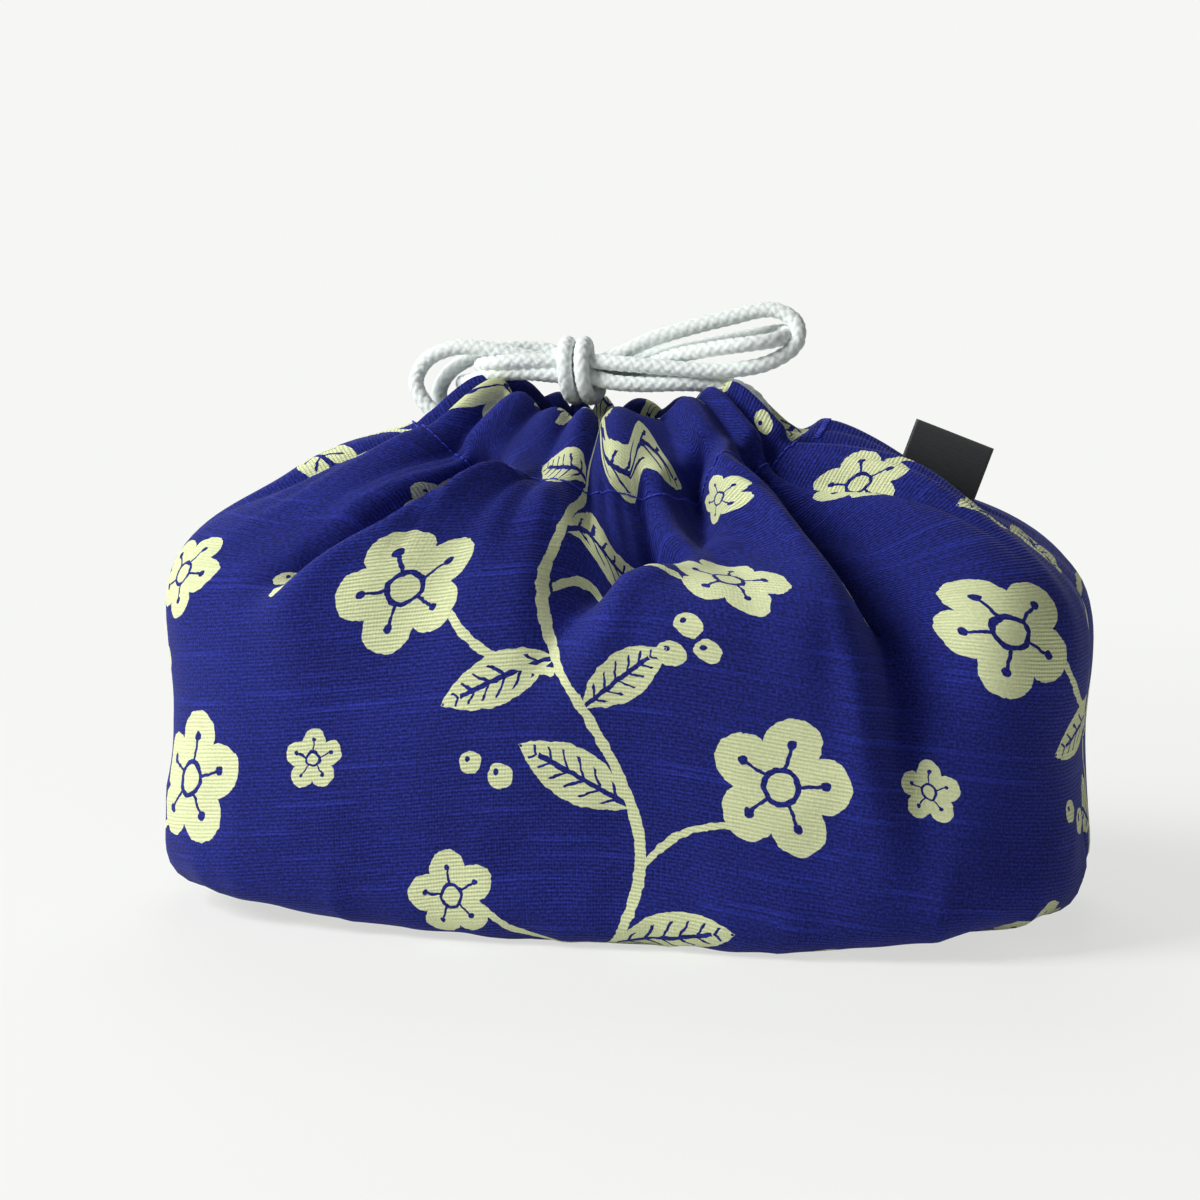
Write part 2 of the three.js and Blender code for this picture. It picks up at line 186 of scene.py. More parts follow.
EAR_RISE, FOOT_RISE = 7, 10.5  # how far the casing's edge and foot rise towards the two seams
SLIT_WIDTH, SLIT_DEPTH = 9, 8
PLEATS = 17
ROLLED_PLACE, ROLLED_WIDTH = 0.685, 17  # where the casing rolls over at the front and its pleats fade
SEAM_DEPTH, SEAM_WIDTH = 0.9, 1.1
TAB_STATION = 4.15
TAB_LEAN = math.radians(15)  # the tab lies flatter than the shoulder that it stands on


class BagForm:
    """Surface of the bag: u runs round it from the right seam by the back, station 0 to 9 runs up it."""

    def __init__(self, size):
        mm = {key: getattr(size, key) / MM for key in (
            "base_length", "base_depth", "body_length", "body_depth", "shoulder_height",
            "mouth_length", "mouth_width", "casing_top", "pleat_depth", "wrinkle")}
        self.top = mm["casing_top"]
        self.pleat = mm["pleat_depth"]
        self.wrinkle = mm["wrinkle"]
        self.shoulder = mm["shoulder_height"]
        self.ring = [mm[key] / 2 + CASING_WALL + CLEAR_RADIUS for key in ("mouth_length", "mouth_width")]
        self.spread = CLEAR_RADIUS + CASING_WALL + self.pleat / 2
        self.end = self.outline(
            mm["base_length"], mm["body_length"], END_HEEL, self.ring[0], mm["mouth_length"], EAR_RISE, FOOT_RISE,
            END_FULLNESS)
        self.side = self.outline(
            mm["base_depth"], mm["body_depth"], SIDE_HEEL, self.ring[1], mm["mouth_width"], 0, 0, SIDE_FULLNESS)
        self.sections = {}
        u = np.arange(120) / 120
        rows = np.concatenate([self.cloth(u, s, False) for s in np.arange(0, 7.01, 0.2)])
        self.shift = np.append((rows.min(0) + rows.max(0))[:2] / 2, 0)

    def outline(self, flat, body, heel, ring, mouth, rise, foot_rise, fullness):
        """Upright outline at the stations 0 to 9: up the wall, over the casing and down inside the mouth."""
        outer = ring + self.spread
        foot = self.top - CASING_HEIGHT + foot_rise
        middle = self.top - CASING_HEIGHT / 2 + rise
        return np.array([
            (flat / 2, 0), (body / 2 - HEEL_TURN, heel), (body / 2, BELLY_HEIGHT),
            (body / 2 - SHOULDER_TURN, self.shoulder),
            (lerp(body / 2, outer + CASING_FLARE, 0.52), lerp(self.shoulder, foot, fullness)),
            (outer + CASING_FLARE, foot), (outer + CASING_FLARE * 0.3, middle), (ring, self.top + rise),
            (mouth / 2, middle), (mouth / 2 - 1, self.top - MOUTH_POCKET + rise / 2)])

    @staticmethod
    def along(points, station):
        """Point of the smooth line through the outline's points."""
        i = min(int(station), len(points) - 2)
        t = station - i
        p0, p1, p2, p3 = (points[min(max(k, 0), len(points) - 1)] for k in (i - 1, i, i + 1, i + 2))
        v0, v1 = (p2 - p0) / 2, (p3 - p1) / 2
        return (2 * p1 - 2 * p2 + v0 + v1) * t ** 3 + (3 * p2 - 3 * p1 - 2 * v0 - v1) * t ** 2 + v0 * t + p1

    def section(self, station):
        """Level section: both outlines' points, and the superellipse with its arc length."""
        key = round(float(station), 6)
        if key not in self.sections:
            end, side = self.along(self.end, key), self.along(self.side, key)
            power = 2 / lerp(BASE_SQUARENESS, MOUTH_SQUARENESS, smooth(key, 1, 5))
            turn = np.linspace(0, 2 * np.pi, 1601)
            c, s = np.cos(turn), np.sin(turn)
            line = np.stack([end[0] * np.sign(c) * np.abs(c) ** power, side[0] * np.sign(s) * np.abs(s) ** power], 1)
            run = run_of(line)
            self.sections[key] = (end, side, line, run)
        return self.sections[key]

    def loft(self, u, station):
        """Point of the smooth form, before pleats and folds."""
        end, side, line, run = self.section(station)
        at = (u % 1) * run[-1]
        x, y = np.interp(at, run, line[:, 0]), np.interp(at, run, line[:, 1])
        z = lerp(side[1], end[1], smooth(np.abs(x) / end[0], 0.3, 0.95))
        return np.stack([x + MOUTH_SHIFT * smooth(station, 3, 6), y, z], 1)

    def outward(self, u, station):
        around = self.loft(u + 0.004, station) - self.loft(u - 0.004, station)
        up = self.loft(u, min(station + 0.05, 9)) - self.loft(u, max(station - 0.05, 0))
        normal = np.cross(around, up)
        return normal / norm(normal, axis=1)[:, None]

    def reach(self, u, place, station):
        """Distance round the section from a place, in mm, at most half way."""
        return ((u - place + 0.5) % 1 - 0.5) * self.section(station)[3][-1]

    @staticmethod
    def phase(u):
        """Pleats counted round the mouth: whole numbers are valleys."""
        turn = 2 * np.pi * u
        return PLEATS * u + 0.32 * np.sin(3 * turn + 0.8) + 0.22 * np.sin(5 * turn + 2.1)

    def fold(self, u, station, line, left, right):
        """Distance to a fold's line, the fold's strength there and its spread on that side."""
        nearest, along, wide = np.full(len(u), 1e9), np.zeros(len(u)), np.full(len(u), 1.0)
        for i, ((u0, s0), (u1, s1)) in enumerate(zip(line, line[1:])):
            px, py = self.reach(u, u0, station), (station - s0) * STATION_RISE
            ex, ey = self.reach(np.array([u1]), u0, station)[0], (s1 - s0) * STATION_RISE
            k = np.clip((px * ex + py * ey) / (ex * ex + ey * ey), 0, 1)
            distance = np.hypot(px - k * ex, py - k * ey)
            closer = distance < nearest
            nearest = np.where(closer, distance, nearest)
            along = np.where(closer, (i + k) / (len(line) - 1), along)
            wide = np.where(closer, np.where(ex * py - ey * px > 0, right, left), wide)
        return nearest, smooth(along, 0, 0.25) * (1 - smooth(along, 0.55, 1)), wide

    def relief(self, u, station):
        """How far pleats, folds and swellings push the cloth out."""
        turn = 2 * np.pi * u
        height = self.pleat * (0.8 + 0.2 * np.sin(4 * turn + 0.5))
        growing = smooth(station, 3.1, 5) * lerp(1, 0.15, smooth(station, 6.2, 7.8))
        roll = 1 - 0.75 * bell(self.reach(u, ROLLED_PLACE, 6), ROLLED_WIDTH) * (1 - smooth(station, 6, 7))
        push = height * growing * roll * (np.abs(np.sin(np.pi * self.phase(u))) - 0.6)
        for line, depth, left, right in FOLDS:
            away, strength, wide = self.fold(u, station, line, left, right)
            push = push + depth * strength * (0.3 * bell(away - 1.8 * wide, wide) - np.exp(-((away / wide) ** 1.5)))
        for at, level, wide, tall, height in SWELLS:
            push = push + height * bell(self.reach(u, at, station), wide) * bell(station - level, tall)
        return push + HEEL_EDGE * bell(station - 1, 0.3)

    def creases(self, u, station):
        """Sharp folds' floors and soft wrinkles: lines under the gathers, slack in the walls, crumples at the heel."""
        turn = 2 * np.pi * u
        round_it = list(zip(np.cos(turn), np.sin(turn)))

        def ripple(often, shift_x, shift_y, rising):
            return np.array([noise.noise((often * a + shift_x, often * b + shift_y, rising * station))
                             for a, b in round_it])

        lines = ripple(9, 0, 0, 0.3)
        slack = ripple(2.6, 7, 0, 0.8)
        crumple = ripple(6, 0, 5, 1.7)
        drawn = smooth(station, 2, 3.8) * (1 - smooth(station, 5, 5.8))
        walls = smooth(station, 0.2, 1.2) * (1 - smooth(station, 3.8, 5))
        low = smooth(station, 0.1, 0.7) * (1 - smooth(station, 1.2, 2.6))
        # Short creases run down from the casing between the pleats, some faint and some deep.
        vein = ripple(7, 11, 0, 0.25)
        pinched = smooth(station, 3, 4.5) * (1 - smooth(station, 5, 5.9))
        sharp = 1.8 * self.wrinkle * pinched * np.clip(0.45 + 1.4 * lines, 0, 1) * bell(vein, 0.17)
        for line, depth, left, right in FOLDS:
            away, strength, _ = self.fold(u, station, line, left, right)
            sharp += 0.16 * max(depth, 0) * strength * np.exp(-away / 2.4)
        return -sharp + self.wrinkle * (1.3 * lines * drawn + 1.5 * slack * walls + (0.5 - 1.6 * np.abs(crumple)) * low)

    def cloth(self, u, station, worn=True):
        """Point of the cloth, with its folds, and when worn its creases and sunk seams."""
        push = self.relief(u, station)
        if worn:
            push = push + self.creases(u, station)
            seam = np.minimum(np.abs(self.reach(u, 0, station)), np.abs(self.reach(u, 0.5, station)))
            push = push - SEAM_DEPTH * bell(seam, SEAM_WIDTH) * (1 - smooth(station, 5, 5.4))
        point = self.loft(u, station) + self.outward(u, station) * (push * smooth(station, 0, 0.8))[:, None]
        nearest = np.minimum(np.abs(self.reach(u, 0, 6)), np.abs(self.reach(u, 0.5, 6)))
        slit = (1 - smooth(nearest, SLIT_WIDTH * 0.2, SLIT_WIDTH * 0.75)) * smooth(station, 5.2, 6.6)
        point[:, 2] = np.maximum(point[:, 2] - SLIT_DEPTH * slit, 0)
        return point

    def placed(self, points):
        """Points of the form in metres, in the row frame."""
        return (np.asarray(points, float) - self.shift) * MM


# ---- meshes


def finished(bm, name, material, flat=False):
    """Object made from the bmesh, riding on the bag."""
    mesh = bpy.data.meshes.new(name)
    bm.to_mesh(mesh)
    bm.free()
    mesh.polygons.foreach_set("use_smooth", [not flat] * len(mesh.polygons))
    mesh.materials.append(material)
    piece = bpy.data.objects.new(name, mesh)
    bpy.context.scene.collection.objects.link(piece)
    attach(piece, BODY)
    return piece


def moved_grid(points, uv=None, ring=False, strand=None):
    """Grid whose rows of vertices are moved onto points[row, column]; a ring's two edges are joined."""
    rows, columns = points.shape[:2]
    bm = bmesh.new()
    layer = bm.loops.layers.uv.new("cloth") if uv is not None else None
    crown = bm.verts.layers.float.new("strand") if strand is not None else None
    bmesh.ops.create_grid(bm, x_segments=columns - 1, y_segments=rows - 1, size=0.5)
    place = {vert: (round((vert.co.y + 0.5) * (rows - 1)), round((vert.co.x + 0.5) * (columns - 1)))
             for vert in bm.verts}
    for vert, (row, column) in place.items():
        vert.co = points[row, column]
        if crown:
            vert[crown] = strand[row, column]
    if layer:
        for face in bm.faces:
            low = min(place[vert][0] for vert in face.verts)
            for loop in face.loops:
                loop[layer].uv = uv(*place[loop.vert], low)
    if ring:
        bmesh.ops.remove_doubles(bm, verts=bm.verts, dist=1e-7)
    return bm


def spline(points, step):
    """Points at even steps along a smooth line through the given ones."""
    p = np.asarray(points, float)
    p = np.concatenate([[2 * p[0] - p[1]], p, [2 * p[-1] - p[-2]]])
    knots = np.concatenate([[0], np.cumsum(norm(np.diff(p, axis=0), axis=1) ** 0.5)])
    line = []
    for i in range(1, len(p) - 2):
        t0, t1, t2, t3 = knots[i - 1:i + 3]
        t = np.linspace(t1, t2, 24, endpoint=False)[:, None]
        a1 = (t1 - t) / (t1 - t0) * p[i - 1] + (t - t0) / (t1 - t0) * p[i]
        a2 = (t2 - t) / (t2 - t1) * p[i] + (t - t1) / (t2 - t1) * p[i + 1]
        a3 = (t3 - t) / (t3 - t2) * p[i + 1] + (t - t2) / (t3 - t2) * p[i + 2]
        b1 = (t2 - t) / (t2 - t0) * a1 + (t - t0) / (t2 - t0) * a2
        b2 = (t3 - t) / (t3 - t1) * a2 + (t - t1) / (t3 - t1) * a3
        line.append((t2 - t) / (t2 - t1) * b1 + (t - t1) / (t2 - t1) * b2)
    return evenly(np.concatenate(line + [p[-2:-1]]), step)


def evenly(line, step):
    """Points at even steps along a line."""
    run = run_of(line)
    at = np.linspace(0, run[-1], max(int(round(run[-1] / step)), 2) + 1)
    return np.stack([np.interp(at, run, line[:, k]) for k in range(3)], 1)


def tube_points(line, radius, sides):
    """Rows of points round a line; radius is a number, or one for each row and side."""
    ahead = np.gradient(line, axis=0)
    ahead /= norm(ahead, axis=1)[:, None]
    side = np.cross(ahead[0], (0.3, 0.2, 1))
    turn = np.linspace(0, 2 * np.pi, sides + 1)
    rows = []
    for point, t, r in zip(line, ahead, np.broadcast_to(radius, (len(line), sides + 1))):
        side = side - t * side.dot(t)
        side /= norm(side)
        rows.append(point + r[:, None] * (np.outer(np.cos(turn), side) + np.outer(np.sin(turn), np.cross(t, side))))
    rows = np.array(rows)
    rows[:, -1] = rows[:, 0]
    return rows


def tube(line, radius, sides, uv=None, strand=None):
    """Closed tube along a line."""
    bm = moved_grid(tube_points(line, radius, sides), uv, True, strand)
    bmesh.ops.holes_fill(bm, edges=[e for e in bm.edges if e.is_boundary], sides=0)
    return bm


# ---- materials


def add(tree, kind, inputs=(), **settings):
    """Adds a node with its settings and inputs, numbers or links; a maths node's kind names its operation."""
    kind, *operation = kind.split()
    made = tree.nodes.new(kind if kind.startswith("Node") else "ShaderNode" + kind)
    if operation:
        made.operation = operation[0]
    for name, value in settings.items():
        setattr(made, name, value)
    for key, value in inputs.items() if isinstance(inputs, dict) else enumerate(inputs):
        source = value.outputs[0] if isinstance(value, bpy.types.Node) else value
        if isinstance(source, bpy.types.NodeSocket):
            tree.links.new(source, made.inputs[key])
        else:
            made.inputs[key].default_value = source
    return made


def new_material(name):
    made = bpy.data.materials.new(name)
    made.use_nodes = True
    made.node_tree.nodes.clear()
    return made, made.node_tree


RIB = 1.0  # spacing of the weft in mm; the real 0.8 is drawn a little coarser so that it shows
WARP = 0.8  # spacing of the warp in mm, drawn coarser in the same way
FLECK = 0.75  # mm across a fleck, where thick and thin threads cross
SLUB_LENGTH = 45.0  # mm over which a thread swells and thins
TILE = (165.0, 150.0)  # repeat of the print, in mm of cloth: a quarter of the bag's girth, and one vine wave
VINE_SWING = 15.0
GIRTH = 4 * TILE[0]
CLOTH_RISE = 360.0  # mm of cloth from the base edge to the top of the pattern space
# Motifs of one repeat: kind, place in mm from the vine's foot, turn in degrees, size in mm.
SPRIG = [
    ("vine", 0, 0, 0, 1), ("leaf", 7, 12, 18, 36), ("leaf", 13, 50, 152, 34), ("leaf", -8, 88, 200, 32),
    ("leaf", -13, 122, 28, 34), ("leaf", 0, 75, 38, 28), ("leaf", -7, 140, 158, 30),
    ("stalk", 14, 32, 36, 30), ("blossom", 51, 62, 10, 18), ("stalk", -7, 84, 152, 34),
    ("blossom", -52, 108, 40, 17), ("stalk", 6, 11, 158, 36), ("blossom", -36, 28, 25, 12),
    ("stalk", -12, 106, 12, 40), ("blossom", 38, 116, 0, 12.5), ("blossom", 72, 12, 50, 9.5),
    ("blossom", -74, 66, 15, 8), ("berry", 23, 91, 0, 3.4), ("berry", 31, 93, 0, 3), ("berry", 27, 99, 0, 3.2),
    ("berry", -22, 58, 0, 3.4), ("berry", -30, 62, 0, 3), ("berry", 76, 112, 0, 3.2), ("berry", 69, 118, 0, 3),
]


def draw_vine(tree, place, x, y):
    wave = add(tree, "Math MULTIPLY", [y, 2 * math.pi / TILE[1]])
    swing = add(tree, "Math MULTIPLY", [add(tree, "Math SINE", [wave]), VINE_SWING])
    return add(tree, "Math COMPARE", [x, swing, 1.5])


def draw_leaf(tree, place, x, y):
    bow = add(tree, "Math SUBTRACT", [x, add(tree, "Math MULTIPLY", [x, x])])
    half = add(tree, "Math MULTIPLY", [bow, 0.82])
    off = add(tree, "Math ABSOLUTE", [y])
    blade = add(tree, "Math LESS_THAN", [off, half])
    short = add(tree, "Math LESS_THAN", [x, 0.82])
    rib = add(tree, "Math MULTIPLY", [add(tree, "Math LESS_THAN", [off, 0.02]), short])
    lean = add(tree, "Math MULTIPLY_ADD", [off, -0.9, x])
    vein = add(tree, "Math LESS_THAN", [add(tree, "Math PINGPONG", [lean, 0.07]), 0.014])
    inner = add(tree, "Math MULTIPLY", [half, 0.66])
    within = add(tree, "Math LESS_THAN", [off, inner])
    lines = add(tree, "Math MAXIMUM", [rib, add(tree, "Math MULTIPLY", [vein, within])])
    return add(tree, "Math SUBTRACT", [blade, lines], use_clamp=True)


def draw_stalk(tree, place, x, y):
    bow = add(tree, "Math SUBTRACT", [x, add(tree, "Math MULTIPLY", [x, x])])
    line = add(tree, "Math COMPARE", [y, add(tree, "Math MULTIPLY", [bow, 0.5]), 0.032])
    return add(tree, "Math MULTIPLY", [line, add(tree, "Math COMPARE", [x, 0.5, 0.5])])


def draw_blossom(tree, place, x, y):
    away = add(tree, "VectorMath LENGTH", [place]).outputs["Value"]
    turn = add(tree, "Math WRAP", [add(tree, "Math ARCTAN2", [y, x]), math.pi / 5, -math.pi / 5])
    px = add(tree, "Math MULTIPLY", [add(tree, "Math COSINE", [turn]), away])
    py = add(tree, "Math MULTIPLY", [add(tree, "Math SINE", [turn]), away])
    petal_place = add(tree, "CombineXYZ", [px, py])
    round_off = add(tree, "VectorMath DISTANCE", [petal_place, (0.6, 0, 0)]).outputs["Value"]
    petal = add(tree, "Math LESS_THAN", [round_off, 0.4])
    heart = add(tree, "Math LESS_THAN", [away, 0.34])
    flower = add(tree, "Math MAXIMUM", [petal, heart])
    ring = add(tree, "Math COMPARE", [away, 0.24, 0.04])
    thread = add(tree, "Math COMPARE", [py, 0.0, 0.026])
    stamen = add(tree, "Math MULTIPLY", [thread, add(tree, "Math COMPARE", [away, 0.42, 0.15])])
    tip_off = add(tree, "VectorMath DISTANCE", [petal_place, (0.62, 0, 0)]).outputs["Value"]
    tip = add(tree, "Math LESS_THAN", [tip_off, 0.07])
    lines = add(tree, "Math MAXIMUM", [add(tree, "Math MAXIMUM", [ring, stamen]), tip])
    return add(tree, "Math SUBTRACT", [flower, lines], use_clamp=True)


def draw_berry(tree, place, x, y):
    away = add(tree, "VectorMath LENGTH", [place]).outputs["Value"]
    spot = add(tree, "VectorMath DISTANCE", [place, (-0.3, 0.3, 0)]).outputs["Value"]
    lit = add(tree, "Math LESS_THAN", [spot, 0.24])
    return add(tree, "Math SUBTRACT", [add(tree, "Math LESS_THAN", [away, 1.0]), lit], use_clamp=True)


def motif(name, draw):
    """Node group for one motif of the print, repeated every tile round its own centre."""
    group = bpy.data.node_groups.new("print " + name, "ShaderNodeTree")
    for socket, kind in (("Cloth", "Vector"), ("Centre", "Vector"), ("Turn", "Float"), ("Size", "Float")):
        group.interface.new_socket(socket, in_out="INPUT", socket_type="NodeSocket" + kind)
    group.interface.new_socket("Ink", in_out="OUTPUT", socket_type="NodeSocketFloat")
    given = add(group, "NodeGroupInput").outputs
    away = add(group, "VectorMath SUBTRACT", [given["Cloth"], given["Centre"]])
    half = (TILE[0] / 2, TILE[1] / 2, 1)
    near = add(group, "VectorMath WRAP", [away, half, tuple(-h for h in half)])
    back = add(group, "Math MULTIPLY", [given["Turn"], -1.0])
    turned = add(group, "VectorRotate", {"Vector": near, "Angle": back}, rotation_type="Z_AXIS")
    scale = add(group, "Math DIVIDE", [1.0, given["Size"]])
    place = add(group, "VectorMath SCALE", {"Vector": turned, "Scale": scale})
    axes = add(group, "SeparateXYZ", [place]).outputs
    add(group, "NodeGroupOutput", [draw(group, place, axes["X"], axes["Y"])])
    return group


def printed_cotton(settings):
    """Slub cotton, plain woven and screen printed: matt, ribbed along the weft, streaked where threads thicken."""
    material, tree = new_material("printed slub cotton")
    uv = add(tree, "UVMap", uv_map="cloth")
    cloth = add(tree, "Mapping", {"Vector": uv, "Scale": (GIRTH, CLOTH_RISE, 1)})
    # The printed edge wavers by about half a millimetre over the ribs.
    waver = add(tree, "TexNoise", {"Vector": cloth, "Scale": 0.35, "Detail": 2.0}).outputs["Color"]
    offset = add(tree, "VectorMath SCALE", {0: add(tree, "VectorMath SUBTRACT", [waver, (0.5, 0.5, 0.5)]),
                                            "Scale": 1.6})
    drawn_on = add(tree, "VectorMath ADD", [cloth, offset])
    drawing = {"vine": draw_vine, "leaf": draw_leaf, "stalk": draw_stalk, "blossom": draw_blossom,
               "berry": draw_berry}
    groups = {name: motif(name, draw) for name, draw in drawing.items()}
    ink = 0.0
    for kind, x, y, turn, size in SPRIG:
        one = add(tree, "Group", node_tree=groups[kind])
        tree.links.new(drawn_on.outputs[0], one.inputs["Cloth"])
        one.inputs["Centre"].default_value = (x, y, 0)
        one.inputs["Turn"].default_value = math.radians(turn)
        one.inputs["Size"].default_value = size
        ink = add(tree, "Math MAXIMUM", [ink, one])
    # Weft ribs with a finer warp over them; here and there one rib thickens into a slub.
    axes = add(tree, "SeparateXYZ", [cloth]).outputs
    row = add(tree, "Math FLOOR", [add(tree, "Math DIVIDE", [axes["Y"], RIB])])
    along = add(tree, "Math DIVIDE", [axes["X"], SLUB_LENGTH])
    own = add(tree, "CombineXYZ", [along, add(tree, "Math MULTIPLY", [row, 7.31])])
    thread = add(tree, "TexNoise", {"Vector": own, "Scale": 1.0, "Detail": 1.0})
    slub = add(tree, "MapRange", {"Value": thread, "From Min": 0.61, "From Max": 0.7},
               interpolation_type="SMOOTHSTEP")
    patch = add(tree, "TexNoise", {"Vector": cloth, "Scale": 0.05, "Detail": 3.0})
    uneven = add(tree, "TexNoise", {"Vector": add(tree, "Mapping", {"Vector": cloth, "Scale": (0.12, 0.5, 1)}),
                                    "Scale": 1.0, "Detail": 2.0})
    beat = add(tree, "Math MULTIPLY", [axes["Y"], 2 * math.pi / RIB])
    rib = add(tree, "Math SINE", [add(tree, "Math MULTIPLY_ADD", [uneven, 4.0, beat])])
    warp = add(tree, "Math SINE", [add(tree, "Math MULTIPLY", [axes["X"], 2 * math.pi / WARP])])
    weave = add(tree, "Math MULTIPLY_ADD", [warp, 0.3, rib])
    fleck = add(tree, "TexNoise", {"Vector": cloth, "Scale": 1 / FLECK, "Detail": 1.0})
    tone = 0.28  # of the plain cloth; each texture shifts it about its own middle
    for texture, middle, weight in ((thread, 0.5, 0.25), (slub, 0.0, 0.24), (weave, 0.0, 0.1), (patch, 0.5, 0.25),
                                    (fleck, 0.5, 1.6)):
        about = add(tree, "Math SUBTRACT", [texture, middle])
        tone = add(tree, "Math MULTIPLY_ADD", [about, weight, tone])
    tone = add(tree, "Math ADD", [tone, 0.0], use_clamp=True)
    shades = []
    for colour, dark, light in ((settings.ground, 0.3, 1.4), (settings.ink, 0.88, 1.12)):
        deep, pale = ([min(c * k, 1) for c in colour] + [1] for k in (dark, light))
        shades.append(add(tree, "Mix", {0: tone, 6: deep, 7: pale}, data_type="RGBA").outputs[2])
    colour = add(tree, "Mix", {0: ink, 6: shades[0], 7: shades[1]}, data_type="RGBA").outputs[2]
    height = add(tree, "Math MULTIPLY_ADD", [weave, 0.5, slub])
    bump = add(tree, "Bump", {"Strength": 0.8, "Distance": 0.00018, "Height": height})
    rough = add(tree, "MapRange", {"Value": tone, "To Min": 0.92, "To Max": 0.8})
    surface = add(tree, "BsdfPrincipled", {
        "Base Color": colour, "Roughness": rough, "Normal": bump, "Specular IOR Level": 0.25,
        "Sheen Weight": 0.04, "Sheen Roughness": 0.4})
    add(tree, "OutputMaterial", [surface])
    return material


def braided_cotton(settings):
    """Bleached cotton braid: dull white, soft strands with painted shade in the gaps between them, and a faint fuzz of
    fibres.
    """
    material, tree = new_material("braided cotton cord")
    uv = add(tree, "UVMap", uv_map="cloth")
    # Painted shade: the strand attribute, 0 in the gaps and 1 on the crowns, darkens the cord in the gaps between
    # strands.
    depth = add(tree, "SeparateXYZ", [add(tree, "Attribute", attribute_name="strand")]).outputs["X"]
    fibre = add(tree, "TexNoise", {"Vector": add(tree, "Mapping", {"Vector": uv, "Scale": (1400, 40, 1)}),
                                   "Scale": 1.0, "Detail": 3.0})
    tone = add(tree, "Math MULTIPLY_ADD", [add(tree, "Math SUBTRACT", [fibre, 0.5]), 0.35, depth], use_clamp=True)
    # Painted shade: gap is the white cord darkened to a bluish grey, as shade falls in the gaps between strands.
    gap = [c * k for c, k in zip(settings.colour, (0.74, 0.8, 0.81))] + [1]
    colour = add(tree, "Mix", {0: tone, 6: gap, 7: list(settings.colour) + [1]}, data_type="RGBA").outputs[2]
    bump = add(tree, "Bump", {"Strength": 0.35, "Distance": 0.0001, "Height": fibre})
    surface = add(tree, "BsdfPrincipled", {
        "Base Color": colour, "Roughness": 0.9, "Normal": bump, "Specular IOR Level": 0.2,
        "Sheen Weight": 0.2, "Sheen Roughness": 0.5})
    add(tree, "OutputMaterial", [surface])
    return material


def satin_ribbon(settings):
    """Woven polyester satin: near black, a soft sheen along fine cross ribs."""
    material, tree = new_material("woven satin ribbon")
    uv = add(tree, "UVMap", uv_map="cloth")
    # Picks every 0.5 mm across the ribbon, which is as fine as shows.
    thread = add(tree, "TexNoise", {"Vector": add(tree, "Mapping", {"Vector": uv, "Scale": (8, 70, 1)}),
                                    "Scale": 1.0, "Detail": 2.0})
    dark, light = ([c * k for c in settings.colour] + [1] for k in (0.8, 1.5))
    colour = add(tree, "Mix", {0: thread, 6: dark, 7: light}, data_type="RGBA").outputs[2]
    bump = add(tree, "Bump", {"Strength": 0.4, "Distance": 0.0001, "Height": thread})
    surface = add(tree, "BsdfPrincipled", {
        "Base Color": colour, "Roughness": 0.48, "Normal": bump, "Specular IOR Level": 0.4,
        "Sheen Weight": 0.2, "Sheen Roughness": 0.3})
    add(tree, "OutputMaterial", [surface])
    return material


def sewing_thread(settings):
    """Spun polyester thread, dyed a shade lighter than the ground, with a dull shine."""
    material, tree = new_material("spun sewing thread")
    place = add(tree, "TexCoord").outputs["Object"]
    ply = add(tree, "TexNoise", {"Vector": place, "Scale": 3000.0, "Detail": 1.0})
    dark, light = ([c * k for c in settings.ground] + [1] for k in (0.9, 1.9))
    colour = add(tree, "Mix", {0: ply, 6: dark, 7: light}, data_type="RGBA").outputs[2]
    surface = add(tree, "BsdfPrincipled", {"Base Color": colour, "Roughness": 0.55, "Specular IOR Level": 0.4})
    add(tree, "OutputMaterial", [surface])
    return material


def seen_plainly(tree):
    """1 for rays from the camera, gloss and glass, which see plain white; 0 for the light on the bag."""
    rays = add(tree, "LightPath").outputs
    seen = add(tree, "Math MAXIMUM", [rays["Is Camera Ray"], rays["Is Glossy Ray"]])
    return add(tree, "Math MAXIMUM", [seen, rays["Is Transmission Ray"]])


def studio_paper(settings):
    """Matt white studio paper that keeps the bag's shadow near it and goes to plain white further off."""
    material, tree = new_material("matt studio paper")
    place = add(tree, "TexCoord").outputs["Object"]
    away = add(tree, "VectorMath LENGTH", [place]).outputs["Value"]
    far = add(tree, "MapRange", {"Value": away, "From Min": 0.05, "From Max": 0.6, "To Min": 0.68},
              interpolation_type="SMOOTHSTEP")
    share = add(tree, "Math MULTIPLY", [far, seen_plainly(tree)])
    grain = add(tree, "TexNoise", {"Vector": place, "Scale": 900.0, "Detail": 2.0})
    paper = list(settings.paper) + [1]
    matt = add(tree, "BsdfPrincipled", {
        "Base Color": paper, "Roughness": 0.95, "Specular IOR Level": 0.1,
        "Normal": add(tree, "Bump", {"Strength": 0.05, "Distance": 0.0002, "Height": grain})})
    white = add(tree, "Emission", {"Color": paper, "Strength": 1.0})
    add(tree, "OutputMaterial", [add(tree, "MixShader", [share, matt, white])])
    return material


# ---- pieces

WRAP_FROM, WRAP_TO = -9.2, -17.6  # the turns of cord round the hank's waist
WRAP_HEIGHT = 140.6
WRAP_HALF = (8.0, 7.0)  # half depth and half height of a turn's centreline
